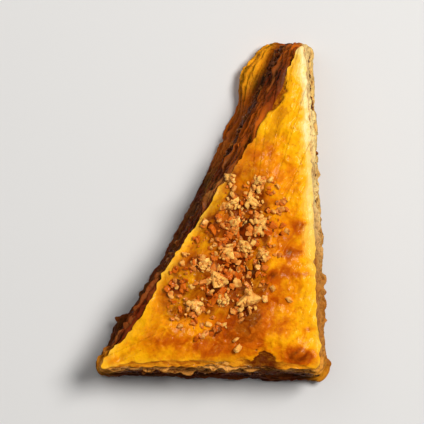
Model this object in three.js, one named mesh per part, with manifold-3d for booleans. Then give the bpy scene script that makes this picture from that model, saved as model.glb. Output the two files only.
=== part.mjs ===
// A right-triangular piece of baklava cut from a tray: a stack of buttered phyllo sheets,
// a ground-nut filling, a second stack of sheets, and chopped nuts stuck in the syrup on top.
// Millimetres, +Z up. The origin is in the middle of the base, on the surface it rests on.

import * as THREE from "three";
import { mergeVertices } from "three/addons/utils/BufferGeometryUtils.js";
import Module from "manifold-3d";

const wasm = await Module();
wasm.setup();

// ---------------------------------------------------------------- driving dimensions

// Corners of the two outlines that the sides run between, anticlockwise: the sharp left
// corner, the right-angled corner, and the two ends of the blunt tip.
const BASE_CORNERS = [[-34.3, -47.7], [33.2, -49.7], [29.2, 49.4], [15.2, 49.4]];
const CROWN_CORNERS = [[-33.6, -47.2], [31.4, -47.2], [26.9, 48.2], [25.9, 48]];
// How far each side bows outwards between its two corners.
const BASE_BOWS = [0.3, 0.2, 0.2, -3.4];
const CROWN_BOWS = [-1.6, 0.3, 0, -2.1];
// Edge points along the front, the right side, the tip and the long side.
const SIDE_STEPS = [24, 36, 6, 40];
const CORNER_PASSES = 1; // rounds of smoothing that blunt the corners

const BOTTOM_SHEETS = { low: 0, high: 8.4, leaves: 5 };
const FILLING = { low: 8.7, high: 13.6 };
const TOP_SHEETS = { low: 13.9, high: 22, leaves: 5 };

const LEAF_REACH = [0.35, 1.3]; // least and most that a sheet's edge stands out of the stack
const LEAF_LEAST = 0.2; // how far it stands out where it wanders furthest in
const LEAF_RAGGED = 0.45; // how far an edge wanders in and out
const LEAF_SAG = 0.45; // how far a sheet's edge wanders up and down
const RECESS = 0.15; // how far out the recesses between the edges lie
const SEAM_SAG = 0.5; // how far the seams on both sides of the filling wander
const RIM_SAG = 0.4; // how far the rim of the top sheet wanders up and down

const FILLING_RINGS = [0, 0.2, 0.5, 0.8, 1]; // heights of the loops of its side, as shares
const FILLING_OUT = 0.35; // how far out its side lies at the seams
const FILLING_CRAG = 0.8; // depth of the lumps of nut in its side
const FILLING_BELLY = 0.4; // how far it bulges between the seams, as a share of the lumps
const FILLING_WAVE = 0.5; // share of the lumps that is smooth, and that is rough below
const FILLING_ROUGH = 0.8;
const FILLING_PRESSED = 0.3; // how lumpy it still is at the seams

// The waves that the edges follow: least number of turns round the piece, and how many sines.
const RECESS_WAVE = [7, 3];
const EDGE_WAVE = [5, 6];
const SAG_WAVE = [4, 4];
const SEAM_WAVE = [3, 3];
const RIM_WAVE = [5, 4];
const LUMP_WAVE = [9, 5];

const CROWN_DOME = 1.1; // rise of the top sheet from its rim to the middle
const CROWN_SHOULDER = 4; // distance from the rim in which most of that rise happens
const CROWN_RIPPLE = 0.35; // height of the folds in the top sheet
const RIPPLE_FADE = 2; // distance from the rim in which the folds fade in
// The folds: turns per millimetre along x and y in radians, phase and share of the height.
const CROWN_FOLDS = [
  { x: 0.31, y: -0.16, phase: 0, share: 1 },
  { x: 0.2, y: 0.27, phase: 2, share: 0.7 },
];
const DROOP_FROM = 22; // where along y the tip starts to sink
const TIP_DROOP = 1.4; // how far the thin tip sinks
const CROWN_RINGS = [0.97, 0.9, 0.8, 0.68, 0.54, 0.38, 0.2]; // shares of its outline

// Where sheets have torn and stand out: the share of the way round, the share of the stack's
// height, and the half length and the reach of the torn flake. The widest is the flap of
// lower sheets that lies beside the tip.
const TOP_FLAKES = [
  { around: 0.235, height: 0.2, span: 0.018, reach: 1.7 },
  { around: 0.47, height: 0.45, span: 0.035, reach: 1.2 },
  { around: 0.12, height: 0.35, span: 0.03, reach: 1 },
  { around: 0.78, height: 0.2, span: 0.03, reach: 1.3 },
];
const BOTTOM_FLAKES = [
  { around: 0.949, height: 0.4, span: 0.015, reach: 3.2 },
  { around: 0.657, height: 0.6, span: 0.027, reach: 5.8 },
  { around: 0.811, height: 0.7, span: 0.02, reach: 1.6 },
  { around: 0.36, height: 0.5, span: 0.03, reach: 0.8 },
];
const FLAKE_CARRIED = 0.7; // the share of a flake's reach that the recesses beside it have

// The largest chunks of chopped nut: middle [x, y], length, width and turn in degrees.
const LARGE_NUTS = [
  { at: [10.5, -27], length: 7, width: 5.8, turn: 45 },
  { at: [2.3, -20.9], length: 5.8, width: 5, turn: 100 },
  { at: [4.5, -12.6], length: 5.8, width: 4.2, turn: 100 },
  { at: [14.3, -4.8], length: 5.6, width: 4.4, turn: 70 },
  { at: [6.7, 1.5], length: 5.4, width: 3, turn: 40 },
  { at: [12.4, 1.8], length: 5.2, width: 2.8, turn: -45 },
  { at: [-5, -28.2], length: 5.2, width: 3.8, turn: -45 },
  { at: [9.8, -11.1], length: 5.2, width: 3.2, turn: -20 },
  { at: [-2.2, -16.2], length: 4.8, width: 3, turn: 30 },
  { at: [13.9, 7.8], length: 4.4, width: 2.7, turn: -30 },
  { at: [5.4, 9.4], length: 4, width: 2.6, turn: -10 },
  { at: [3.8, -27], length: 4, width: 3.6, turn: 0 },
  { at: [6.7, -4.2], length: 4, width: 3.2, turn: -20 },
  { at: [15.2, -13.4], length: 3.6, width: 3, turn: 60 },
];
// The smaller chunks fill a long patch that runs along the middle of the piece.
const SMALL_NUTS = 112;
const NUT_PATCH = { at: [4.6, -14.5], length: 54, width: 29, turn: 61, crowding: 0.62 };
const SMALL_NUT_LENGTH = [2.3, 4.6];
const SMALL_NUT_WIDTH = [0.6, 0.95]; // least and most width as a share of the length
const SMALL_NUT_SHRINK = 0.3; // how much shorter the chunks are at the edge of the patch
const SMALL_NUT_BIAS = 1.7; // above 1, most of the chunks are nearer the least length
const LARGE_NUT_CLEAR = 0.42; // the share of a large chunk's length that small ones keep off
const NUT_FULLNESS = 1.15; // a chunk's uncut corner, as a share of its half size
const NUT_HEIGHT = 0.6; // a chunk's height as a share of its width
const NUT_LIFT = 0.12; // how far its middle lies above the sheet, as a share of its height
const NUT_SKEW = 0.55; // how far its corners are pulled in, as a share of its half size
const NUT_BROKEN = 0.5; // how far in, as a share, its one broken corner lies
const NUT_TIP = 0.9; // the range of its tilt, in radians
const NUT_FROM_RIM = 1.8; // the least distance from a small chunk to the top's rim
const NUT_STRAY = 0.1; // how far a small chunk strays from its spiral, as a share of the patch
const NUT_SWERVE = 0.8; // and along it, in radians

// ---------------------------------------------------------------- shared shape rules

const TAU = 2 * Math.PI;
const GOLDEN_ANGLE = Math.PI * (3 - Math.sqrt(5));
// First numbers of the repeatable draws, so that no two shapes share theirs.
const SEED = { seam: 7, rim: 61, bottom: 100, filling: 200, top: 300, nutCorners: 10 };

// A repeatable value from 0 to 1 for any two whole numbers.
function chance(a, b) {
  const value = Math.sin(a * 127.1 + b * 311.7) * 43758.5453;
  return value - Math.floor(value);
}

// A smooth wave of about -1 to 1 round the piece: `count` sines of `lowest` and more turns.
function waver(around, seed, [lowest, count]) {
  let sum = 0;
  for (let i = 0; i < count; i++) {
    const turns = lowest + Math.floor(lowest * i * (0.6 + 0.5 * chance(seed, i)));
    sum += Math.sin(TAU * (turns * around + chance(seed, i + 50)));
  }
  return sum / Math.sqrt(count) / 1.4;
}

// The smooth bump of height 1 and half length `span` that a torn flake makes at `middle`.
function bump(around, middle, span) {
  let away = Math.abs(around - middle);
  away = Math.min(away, 1 - away);
  return Math.exp(-((away / span) ** 2));
}

// Points round a four-sided outline with bowed sides and blunted corners.
function outline(corners, bows) {
  let points = [];
  corners.forEach((corner, side) => {
    const from = new THREE.Vector2(...corner);
    const to = new THREE.Vector2(...corners[(side + 1) % corners.length]);
    const along = to.clone().sub(from).normalize();
    const outwards = new THREE.Vector2(along.y, -along.x);
    for (let i = 0; i < SIDE_STEPS[side]; i++) {
      const share = i / SIDE_STEPS[side];
      const bow = 4 * bows[side] * share * (1 - share);
      points.push(from.clone().lerp(to, share).addScaledVector(outwards, bow));
    }
  });
  for (let pass = 0; pass < CORNER_PASSES; pass++) {
    points = points.map((point, i) => {
      const before = points.at(i - 1);
      const after = points[(i + 1) % points.length];
      return before.clone().add(after).addScaledVector(point, 2).divideScalar(4);
    });
  }
  return points;
}

const baseOutline = outline(BASE_CORNERS, BASE_BOWS);
const crownOutline = outline(CROWN_CORNERS, CROWN_BOWS);
const EDGE_POINTS = baseOutline.length;

// The side's outline at a height: it leans in evenly from the base to the crown.
function sideAt(z) {
  const climb = THREE.MathUtils.clamp(z / TOP_SHEETS.high, 0, 1);
  return baseOutline.map((point, i) => point.clone().lerp(crownOutline[i], climb));
}

// A closed loop of points round the piece at a height. `reach` and `rise` give how far the
// point at a share of the way round stands out of the side and above the height.
function loop(z, reach, rise = () => 0) {
  const side = sideAt(z);
  return side.map((point, i) => {
    const around = i / EDGE_POINTS;
    const before = side.at(i - 1);
    const after = side[(i + 1) % EDGE_POINTS];
    const along = after.clone().sub(before).normalize();
    const out = reach(around, i);
    return new THREE.Vector3(
      point.x + along.y * out,
      point.y - along.x * out,
      z + rise(around),
    );
  });
}

// A closed solid through loops from the bottom up, with a fan to the middle at each end.
function solidThrough(loops, middle, low, high) {
  const points = [new THREE.Vector3(...middle, low), ...loops.flat()];
  const top = points.push(new THREE.Vector3(...middle, high)) - 1;
  const faces = [];
  for (let i = 0; i < EDGE_POINTS; i++) {
    const next = (i + 1) % EDGE_POINTS;
    faces.push(0, 1 + next, 1 + i);
    for (let ring = 0; ring + 1 < loops.length; ring++) {
      const here = 1 + ring * EDGE_POINTS;
      const above = here + EDGE_POINTS;
      faces.push(here + i, here + next, above + next);
      faces.push(here + i, above + next, above + i);
    }
    const last = 1 + (loops.length - 1) * EDGE_POINTS;
    faces.push(last + i, last + next, top);
  }
  const geometry = new THREE.BufferGeometry().setFromPoints(points);
  geometry.setIndex(faces);
  geometry.computeVertexNormals();
  return geometry;
}

// The point that is equally far from the three long sides of the top.
const MIDDLE = [8.6, -25.4];

// How far the seam under or over the filling wanders from its level.
const seamWave = (around) => SEAM_SAG * waver(around, SEED.seam, SEAM_WAVE);

// The side loops of a stack of sheets: each sheet's edge stands out between two recesses.
function stackLoops(stack, flakes, seed, lowWave, highWave) {
  const loops = [];
  const steps = 2 * stack.leaves;
  for (let step = 0; step <= steps; step++) {
    const share = step / steps;
    const z = THREE.MathUtils.lerp(stack.low, stack.high, share);
    const isEdge = step % 2 === 1;
    const reach = (around, i) => {
      const torn = flakes.reduce((sum, flake) =>
        sum + flake.reach * bump(around, flake.around, flake.span)
        * Math.exp(-(((share - flake.height) * stack.leaves) ** 2)), 0);
      if (!isEdge) {
        const recess = RECESS * (1 + waver(around, seed + step, RECESS_WAVE));
        return recess + FLAKE_CARRIED * torn;
      }
      const spread = THREE.MathUtils.lerp(...LEAF_REACH, chance(seed, step));
      const wander = LEAF_RAGGED * waver(around, seed + step, EDGE_WAVE);
      const tear = LEAF_RAGGED * (chance(i, seed + step) - 0.5);
      return Math.max(LEAF_LEAST, spread + wander + tear) + torn;
    };
    const rise = (around) => {
      const ends = (1 - share) * lowWave(around) + share * highWave(around);
      const inside = 4 * share * (1 - share);
      return ends + inside * LEAF_SAG * waver(around, seed + 20, SAG_WAVE);
    };
    loops.push(loop(z, reach, rise));
  }
  return loops;
}

// ---------------------------------------------------------------- the three layers

const flat = () => 0;

function bottomSheets() {
  const { low, high } = BOTTOM_SHEETS;
  const loops = stackLoops(BOTTOM_SHEETS, BOTTOM_FLAKES, SEED.bottom, flat, seamWave);
  return solidThrough(loops, MIDDLE, low, high);
}

// The filling's side is lumpy: loops that each wander in and out by the lumps' depth, most
// of all half way up.
function nutFilling() {
  const loops = FILLING_RINGS.map((share, ring) => {
    const seed = SEED.filling + ring;
    const z = THREE.MathUtils.lerp(FILLING.low, FILLING.high, share);
    const belly = 4 * share * (1 - share);
    const freedom = THREE.MathUtils.lerp(FILLING_PRESSED, 1, belly);
    const reach = (around, i) => {
      const smooth = FILLING_WAVE * waver(around, seed, LUMP_WAVE);
      const rough = FILLING_ROUGH * (chance(i, seed) - 0.5);
      return FILLING_OUT + FILLING_CRAG * (FILLING_BELLY * belly + freedom * (smooth + rough));
    };
    return loop(z, reach, seamWave);
  });
  return solidThrough(loops, MIDDLE, FILLING.low, FILLING.high);
}

// Height of the top sheet at a point that lies `inward` from its rim.
function crownHeight(x, y, inward) {
  const dome = CROWN_DOME * (1 - Math.exp(-inward / CROWN_SHOULDER));
  const folds = CROWN_FOLDS.reduce((sum, fold) =>
    sum + fold.share * Math.sin(fold.x * x + fold.y * y + fold.phase), 0);
  const ripple = CROWN_RIPPLE * folds * (1 - Math.exp(-inward / RIPPLE_FADE));
  const droop = TIP_DROOP * THREE.MathUtils.smoothstep(y, DROOP_FROM, CROWN_CORNERS[2][1]);
  return TOP_SHEETS.high + dome - droop + ripple;
}

// How far inside the top's three long sides, with their bows, a point lies.
function inwardFromRim(x, y) {
  const point = new THREE.Vector2(x, y);
  const distances = [0, 1, 3].map((side) => {
    const from = new THREE.Vector2(...CROWN_CORNERS[side]);
    const along = new THREE.Vector2(...CROWN_CORNERS[(side + 1) % 4]).sub(from);
    const length = along.length();
    along.divideScalar(length);
    const away = point.clone().sub(from);
    const share = THREE.MathUtils.clamp(along.dot(away) / length, 0, 1);
    return along.cross(away) + 4 * CROWN_BOWS[side] * share * (1 - share);
  });
  return Math.max(0, Math.min(...distances));
}

const crownAt = (x, y) => crownHeight(x, y, inwardFromRim(x, y));

// The stack of sheets over the filling, closed by the rippled top sheet.
function topSheets() {
  const rimWave = (around) => RIM_SAG * waver(around, SEED.rim, RIM_WAVE);
  const rimDrop = (around) => {
    const point = crownOutline[Math.round(around * EDGE_POINTS) % EDGE_POINTS];
    return rimWave(around) + crownHeight(point.x, point.y, 0) - TOP_SHEETS.high;
  };
  const loops = stackLoops(TOP_SHEETS, TOP_FLAKES, SEED.top, seamWave, rimDrop);
  for (const share of CROWN_RINGS) {
    loops.push(crownOutline.map((point) => {
      const x = THREE.MathUtils.lerp(MIDDLE[0], point.x, share);
      const y = THREE.MathUtils.lerp(MIDDLE[1], point.y, share);
      return new THREE.Vector3(x, y, crownAt(x, y));
    }));
  }
  return solidThrough(loops, MIDDLE, TOP_SHEETS.low, crownAt(...MIDDLE));
}

// ---------------------------------------------------------------- the chopped nuts

// The small chunks lie on a sunflower spiral pressed into the patch, thinner towards its
// edge, and none starts inside a large chunk.
function smallNuts() {
  const turn = THREE.MathUtils.degToRad(NUT_PATCH.turn);
  const nuts = [];
  for (let i = 0; i < SMALL_NUTS; i++) {
    const stray = NUT_STRAY * (chance(i, 1) - 0.5);
    const radius = ((i + 0.5) / SMALL_NUTS) ** NUT_PATCH.crowding + stray;
    const angle = i * GOLDEN_ANGLE + NUT_SWERVE * chance(i, 2);
    const along = (NUT_PATCH.length / 2) * radius * Math.cos(angle);
    const across = (NUT_PATCH.width / 2) * radius * Math.sin(angle);
    const x = NUT_PATCH.at[0] + along * Math.cos(turn) - across * Math.sin(turn);
    const y = NUT_PATCH.at[1] + along * Math.sin(turn) + across * Math.cos(turn);
    const shrink = 1 - SMALL_NUT_SHRINK * radius;
    const length = shrink
      * THREE.MathUtils.lerp(...SMALL_NUT_LENGTH, chance(i, 3) ** SMALL_NUT_BIAS);
    const width = length * THREE.MathUtils.lerp(...SMALL_NUT_WIDTH, chance(i, 4));
    const clear = LARGE_NUTS.every((large) =>
      Math.hypot(large.at[0] - x, large.at[1] - y) > LARGE_NUT_CLEAR * large.length);
    if (clear && inwardFromRim(x, y) > NUT_FROM_RIM) {
      nuts.push({ at: [x, y], length, width, turn: 360 * chance(i, 5) });
    }
  }
  return nuts;
}

// One chunk: a block with its corners pulled out of true, stretched to its length, width and
// height, tipped a little and set into the top sheet.
function nutChunk(nut, number) {
  const side = 2 * NUT_FULLNESS;
  const block = new THREE.BoxGeometry(side, side, side);
  block.deleteAttribute("normal");
  block.deleteAttribute("uv");
  const chunk = mergeVertices(block);
  const corners = chunk.getAttribute("position");
  for (let i = 0; i < corners.count; i++) {
    const place = [corners.getX(i), corners.getY(i), corners.getZ(i)];
    const corner = (place[0] > 0) + 2 * (place[1] > 0) + 4 * (place[2] > 0);
    const broken = corner === 4 + (number % 4) ? NUT_BROKEN : 1;
    const pulled = place.map((value, axis) =>
      value * broken * (1 - NUT_SKEW * chance(number, SEED.nutCorners + 3 * corner + axis)));
    corners.setXYZ(i, ...pulled);
  }
  const height = NUT_HEIGHT * nut.width;
  chunk.scale(nut.length / 2, nut.width / 2, height / 2);
  chunk.rotateX(NUT_TIP * (chance(number, 6) - 0.5));
  chunk.rotateY(NUT_TIP * (chance(number, 7) - 0.5));
  chunk.rotateZ(THREE.MathUtils.degToRad(nut.turn));
  chunk.translate(...nut.at, crownAt(...nut.at) + NUT_LIFT * height);
  return chunk;
}

// A closed geometry as a solid that can be joined to another.
function manifoldOf(geometry) {
  return new wasm.Manifold(new wasm.Mesh({
    numProp: 3,
    vertProperties: new Float32Array(geometry.getAttribute("position").array),
    triVerts: new Uint32Array(geometry.index.array),
  }));
}

// The top sheets with every chunk of nut joined to them. Only the largest shell is kept,
// which fills the pockets that chunks seal between them and drops any scrap that misses.
function topSheetsWithNuts() {
  let solid = manifoldOf(topSheets());
  [...LARGE_NUTS, ...smallNuts()].forEach((nut, number) => {
    solid = solid.add(manifoldOf(nutChunk(nut, number)));
  });
  const [whole] = solid.decompose().sort((a, b) => b.volume() - a.volume());
  const mesh = whole.getMesh();
  const geometry = new THREE.BufferGeometry();
  geometry.setAttribute("position", new THREE.BufferAttribute(mesh.vertProperties, 3));
  geometry.setIndex(new THREE.BufferAttribute(mesh.triVerts, 1));
  geometry.computeVertexNormals();
  return geometry;
}

// ---------------------------------------------------------------- the piece

const soakedPhyllo = new THREE.MeshStandardMaterial({ color: 0xb9701c, roughness: 0.45, metalness: 0 });
const groundNuts = new THREE.MeshStandardMaterial({ color: 0x7a4420, roughness: 0.7, metalness: 0 });
const goldenPhyllo = new THREE.MeshStandardMaterial({ color: 0xe08f12, roughness: 0.3, metalness: 0 });

function layer(name, geometry, material) {
  const mesh = new THREE.Mesh(geometry, material);
  mesh.name = name;
  return mesh;
}

const baklava = new THREE.Group();
baklava.add(layer("phyllo_bottom", bottomSheets(), soakedPhyllo));
baklava.add(layer("nut_filling", nutFilling(), groundNuts));
baklava.add(layer("phyllo_top", topSheetsWithNuts(), goldenPhyllo));

export default baklava;
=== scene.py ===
import math

import bmesh
import bpy
import numpy as np
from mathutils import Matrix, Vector


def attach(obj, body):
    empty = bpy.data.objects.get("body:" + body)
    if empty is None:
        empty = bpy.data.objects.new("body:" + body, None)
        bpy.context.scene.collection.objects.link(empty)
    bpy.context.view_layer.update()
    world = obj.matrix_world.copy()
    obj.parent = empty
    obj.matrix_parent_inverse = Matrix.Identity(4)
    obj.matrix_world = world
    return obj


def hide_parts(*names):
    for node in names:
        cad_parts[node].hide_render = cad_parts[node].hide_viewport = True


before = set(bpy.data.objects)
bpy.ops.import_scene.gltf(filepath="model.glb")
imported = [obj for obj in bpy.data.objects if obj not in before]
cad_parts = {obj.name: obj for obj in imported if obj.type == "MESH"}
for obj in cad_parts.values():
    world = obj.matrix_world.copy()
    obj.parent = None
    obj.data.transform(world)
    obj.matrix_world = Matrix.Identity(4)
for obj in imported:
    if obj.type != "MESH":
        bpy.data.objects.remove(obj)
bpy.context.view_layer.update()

# ======================================================================================
# The lower stack of sheets: about fifteen phyllo sheets, brushed with butter, baked and
# soaked in syrup from below. The knife went down through the whole tray, so all layers share
# one outline, which is wider at the base than at the crown. Sizes are in millimetres.
# ======================================================================================

MM = 0.001
TAU = 2 * math.pi

BASE_CORNERS = [(-34.3, -47.7), (33.2, -49.7), (29.2, 49.4), (15.2, 49.4)]
CROWN_CORNERS = [(-33.6, -47.2), (31.4, -47.2), (26.9, 48.2), (25.9, 48)]
BASE_BOWS = [0.3, 0.2, 0.2, -3.4]  # how far each side bows outwards
CROWN_BOWS = [-1.6, 0.3, 0, -2.1]
SIDE_STEPS = [24, 36, 6, 40]  # points along each side of the solids' outline
FINER = 8  # points here for each of those
PERIMETER = 285
MIDDLE = np.array([8.6, -25.4])  # where the flat sides and the top's loops close

BOTTOM_SHEETS = {"low": 0, "high": 8.4, "leaves": 5, "sheets": 15}
TOP_SHEETS = {"low": 13.9, "high": 22, "leaves": 5, "sheets": 15}
LEAF_REACH = (0.35, 1.3)  # how far a group of sheets stands out
LEAF_RAGGED = 0.45  # how far that varies along its edge
LEAF_LEAST = 0.2
RECESS = 0.15  # how far the groove between two groups stands out
LEAF_SAG = 0.45  # how far the sheets wander up and down
SEAM_SAG = 0.5  # how far the seams beside the filling wander
# Torn flakes: place round the side and height as shares, half width, and how far they reach.
BOTTOM_FLAKES = [
    {"around": 0.949, "height": 0.4, "span": 0.015, "reach": 3.2},
    {"around": 0.657, "height": 0.6, "span": 0.027, "reach": 5.8},
    {"around": 0.811, "height": 0.7, "span": 0.02, "reach": 1.6},
    {"around": 0.36, "height": 0.5, "span": 0.03, "reach": 0.8},
]
FLAKE_CARRIED = 0.7  # the share of a flake that the groove beside it carries
SEAM_SEED = 7
BOTTOM_SEED = 100
LOWER_SCRAPS_SEED = 500

SHEET_ROWS = np.array([0, 0.18, 0.42, 0.8])  # rows of points up one sheet's edge
SEAM_WANDER = 1.05  # how far the seams between sheets wander, in sheets
GAP_DEPTH = 1.1  # depth of the widest gap between two sheets
SHEET_STRAY = 0.6  # how unevenly the sheets' edges stand out
SHEET_CHIP = 0.5  # how far an edge is broken back in places
DEEPEST = -0.75  # no point of the side lies further inside the outline
EDGE_LUMPS = [(5, 0.9, 1), (1.5, 0.55, 2), (0.7, 0.3, 5)]  # size, depth and seed
ON_THE_FLAT = (1, 1, 0)
SEAM_SHIFT = (41.3, 17.9, 0)  # how far apart the noise of two seams is read
SHEET_SHIFT = (37.3, 91.7, 0)  # how far apart that of two sheets is


def chance(a, b):
    """A repeatable value from 0 to 1 for two numbers: the fraction of a large sine."""
    value = np.sin(a * 127.1 + b * 311.7) * 43758.5453
    return value - np.floor(value)


def between(ends, share):
    """The value at a share of the way between two ends."""
    return ends[0] + (ends[1] - ends[0]) * share


def waver(around, seed, lowest, count):
    """A smooth wave from -1 to 1 round the piece: a sum of sines of whole turns."""
    total = np.zeros_like(np.asarray(around, float))
    for i in range(count):
        turns = lowest + math.floor(lowest * i * (0.6 + 0.5 * chance(seed, i)))
        total = total + np.sin(TAU * (turns * around + chance(seed, i + 50)))
    return total / math.sqrt(count) / 1.4


def lumps(points, size, seed):
    """Smooth noise from 0 to 1 at points (..., 3): values drawn at the corners of a cubic
    lattice whose cells are `size` wide, eased between the corners."""
    scaled = points / size
    cell = np.floor(scaled)
    ease = scaled - cell
    ease = ease * ease * (3 - 2 * ease)
    total = 0
    for corner in np.ndindex(2, 2, 2):
        at = cell + corner
        drawn = chance(at[..., 0] + 57.31 * at[..., 1] + 113.97 * at[..., 2], seed)
        share = np.where(np.array(corner) == 1, ease, 1 - ease).prod(axis=-1)
        total = total + drawn * share
    return total


def rough(points, layers):
    """Lumpy noise about 0: the sum of layers, each given as (size, depth, seed)."""
    return sum(depth * (lumps(points, size, seed) - 0.5) for size, depth, seed in layers)


def eased(value, low, high):
    """0 below low, 1 above high, and an S-curve between them."""
    share = np.clip((value - low) / (high - low), 0, 1)
    return share * share * (3 - 2 * share)


def bell(value, middle, half):
    """A bell curve: 1 at its middle, and e to the power of -1 at `half` away from it."""
    return np.exp(-((value - middle) / half) ** 2)


def spot(x, y, middle, spread):
    """A round bell: e to the power of minus the square of the distance over the spread."""
    return np.exp(-((x - middle[0]) ** 2 + (y - middle[1]) ** 2) / spread)


def outline(corners, bows, finer):
    """Points (n, 2) round a four-sided outline: straight sides plus a parabola for the bow,
    with corners blunted by averaging each point with its neighbours."""
    sides = []
    for side, corner in enumerate(corners):
        start = np.array(corner, float)
        end = np.array(corners[(side + 1) % 4], float)
        along = (end - start) / np.linalg.norm(end - start)
        outwards = np.array([along[1], -along[0]])
        count = SIDE_STEPS[side] * finer
        share = (np.arange(count) / count)[:, None]
        bow = 4 * bows[side] * share * (1 - share)
        sides.append(start + (end - start) * share + outwards * bow)
    points = np.concatenate(sides)
    for _ in range(finer * finer):
        points = (np.roll(points, 1, axis=0) + np.roll(points, -1, axis=0) + 2 * points) / 4
    return points


base_outline = outline(BASE_CORNERS, BASE_BOWS, FINER)
crown_outline = outline(CROWN_CORNERS, CROWN_BOWS, FINER)
AROUND = np.arange(len(base_outline)) / len(base_outline)


def leaning(base, crown, z):
    """Places (..., 2) on the cut side at heights z: the base's and the crown's places
    blended by height."""
    lean = np.clip(z / TOP_SHEETS["high"], 0, 1)[..., None]
    return base * (1 - lean) + crown * lean


def facing_out(along):
    """Unit directions (..., 2) that point outwards where an outline runs along."""
    along = along / np.linalg.norm(along, axis=-1, keepdims=True)
    return np.stack([along[..., 1], -along[..., 0]], axis=-1)


def raised(flat, z):
    """Places (..., 2) and their heights as points (..., 3)."""
    return np.concatenate([flat, z[..., None]], axis=-1)


def side_points(z, reach):
    """Points (rows, n, 3) on the cut side at heights z, moved outwards by reach."""
    z = np.broadcast_to(z, reach.shape)
    flat = leaning(base_outline, crown_outline, z)
    along = np.roll(flat, -1, axis=1) - np.roll(flat, 1, axis=1)
    return raised(flat + facing_out(along) * reach[..., None], z)


def leaf_reach(stack, flakes, seed):
    """How far the groups of sheets stand out, (steps, n): recesses and edges by turns, with
    a smooth bump at each torn flake."""
    steps = 2 * stack["leaves"]
    rows = []
    for step in range(steps + 1):
        share = step / steps
        torn = 0
        for flake in flakes:
            away = np.abs(AROUND - flake["around"])
            away = np.minimum(away, 1 - away)
            near = bell(share, flake["height"], 1 / stack["leaves"])
            torn = torn + flake["reach"] * near * bell(away, 0, flake["span"])
        if step % 2 == 0:
            recess = RECESS * (1 + waver(AROUND, seed + step, 7, 3))
            rows.append(recess + FLAKE_CARRIED * torn)
            continue
        spread = between(LEAF_REACH, chance(seed, step))
        wander = LEAF_RAGGED * waver(AROUND, seed + step, 5, 6)
        rows.append(np.maximum(LEAF_LEAST, spread + wander) + torn)
    return np.array(rows)


def seam_wave(around):
    """How far the seams on both sides of the filling wander from their level."""
    return SEAM_SAG * waver(around, SEAM_SEED, 3, 3)


def stack_side(stack, flakes, seed, low_wave, high_wave):
    """The side of a stack, sheet by sheet. The seams between the sheets wander up and down,
    so some sheets are pinched and others part. Each edge is a band with eased corners and
    noise of three sizes, drawn in to a gap whose depth varies. Returns the points
    (rows, n, 3) and how far out of its gap each lies, from 0 to 1."""
    sheets = stack["sheets"]
    within = np.append(np.tile(SHEET_ROWS, sheets), 0)
    number = np.append(np.repeat(np.arange(sheets), len(SHEET_ROWS)), sheets)
    share = ((number + within) / sheets)[:, None]
    groups = leaf_reach(stack, flakes, seed)
    place = share[:, 0] * (len(groups) - 1)
    below = np.minimum(place.astype(int), len(groups) - 2)
    part = (place - below)[:, None]
    reach = groups[below] * (1 - part) + groups[below + 1] * part

    ends = (1 - share) * low_wave + share * high_wave
    sag = 4 * share * (1 - share) * LEAF_SAG * waver(AROUND, seed + 20, 4, 4)
    height = stack["low"] + share * (stack["high"] - stack["low"]) + ends + sag

    ring = side_points(np.full((1, 1), stack["low"]), np.zeros((1, len(AROUND))))
    seams = ring * ON_THE_FLAT + np.arange(sheets + 1)[:, None, None] * SEAM_SHIFT
    wander = rough(seams, [(8, 1, seed), (2.6, 0.6, seed + 1)])
    wander[[0, -1]] = 0
    upper_seam = np.minimum(number + 1, sheets)
    rise = wander[number] * (1 - within[:, None]) + wander[upper_seam] * within[:, None]
    thickness = (stack["high"] - stack["low"]) / sheets
    height = height + SEAM_WANDER * thickness * rise

    # Each sheet has its own noise, read at the side's points and shifted by its number.
    own = side_points(height, reach) * ON_THE_FLAT + number[:, None, None] * SHEET_SHIFT
    stray = SHEET_STRAY * (chance(number[:, None], seed + 1) - 0.5)
    stray = stray + rough(own, EDGE_LUMPS) - SHEET_CHIP * eased(lumps(own, 3, 6), 0.6, 0.7)
    gap = GAP_DEPTH * between((0.15, 1), eased(lumps(own, 4.5, 3), 0.35, 0.85))
    is_gap = (within == 0)[:, None]
    corner = np.isin(within, (SHEET_ROWS[1], SHEET_ROWS[-1]))[:, None]
    reach = np.where(is_gap, 0.7 * reach - gap, reach + stray - np.where(corner, 0.1, 0))
    points = side_points(height, np.maximum(reach, DEEPEST))
    # `out` is 0 in a gap, 0.75 at an edge's corners and 1 on its face; the finish paints low
    # values dark, partly syrup and partly painted shade.
    out = np.where(is_gap, 0, np.where(corner, 0.75, 1)) * np.ones_like(reach)
    return points, out


def loop_faces(rows, count):
    """Quads between rows of closed loops of points, facing outwards when the rows climb."""
    row = np.arange(rows - 1)[:, None] * count
    here = np.arange(count)
    after = (here + 1) % count
    quads = np.stack([row + here, row + after, row + after + count, row + here + count], -1)
    return quads.reshape(-1, 4)


def fan_faces(first, count, middle, up):
    """Triangles from a closed loop of points to a middle point, facing up or down."""
    here = first + np.arange(count)
    after = first + (np.arange(count) + 1) % count
    ends = (here, after) if up else (after, here)
    return np.stack([*ends, np.full(count, middle)], -1)


def closed_body(rows, low_middle, high_middle):
    """A closed body of loops of points (rows, n, 3), with a fan from the first loop to a
    middle below and one from the last to a middle above. Returns points and faces."""
    count = rows.shape[1]
    points = np.concatenate([rows.reshape(-1, 3), [low_middle, high_middle]])
    fans = [
        fan_faces(0, count, len(points) - 2, up=False),
        fan_faces((len(rows) - 1) * count, count, len(points) - 1, up=True),
    ]
    return points, [loop_faces(len(rows), count), np.concatenate(fans)]


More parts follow.
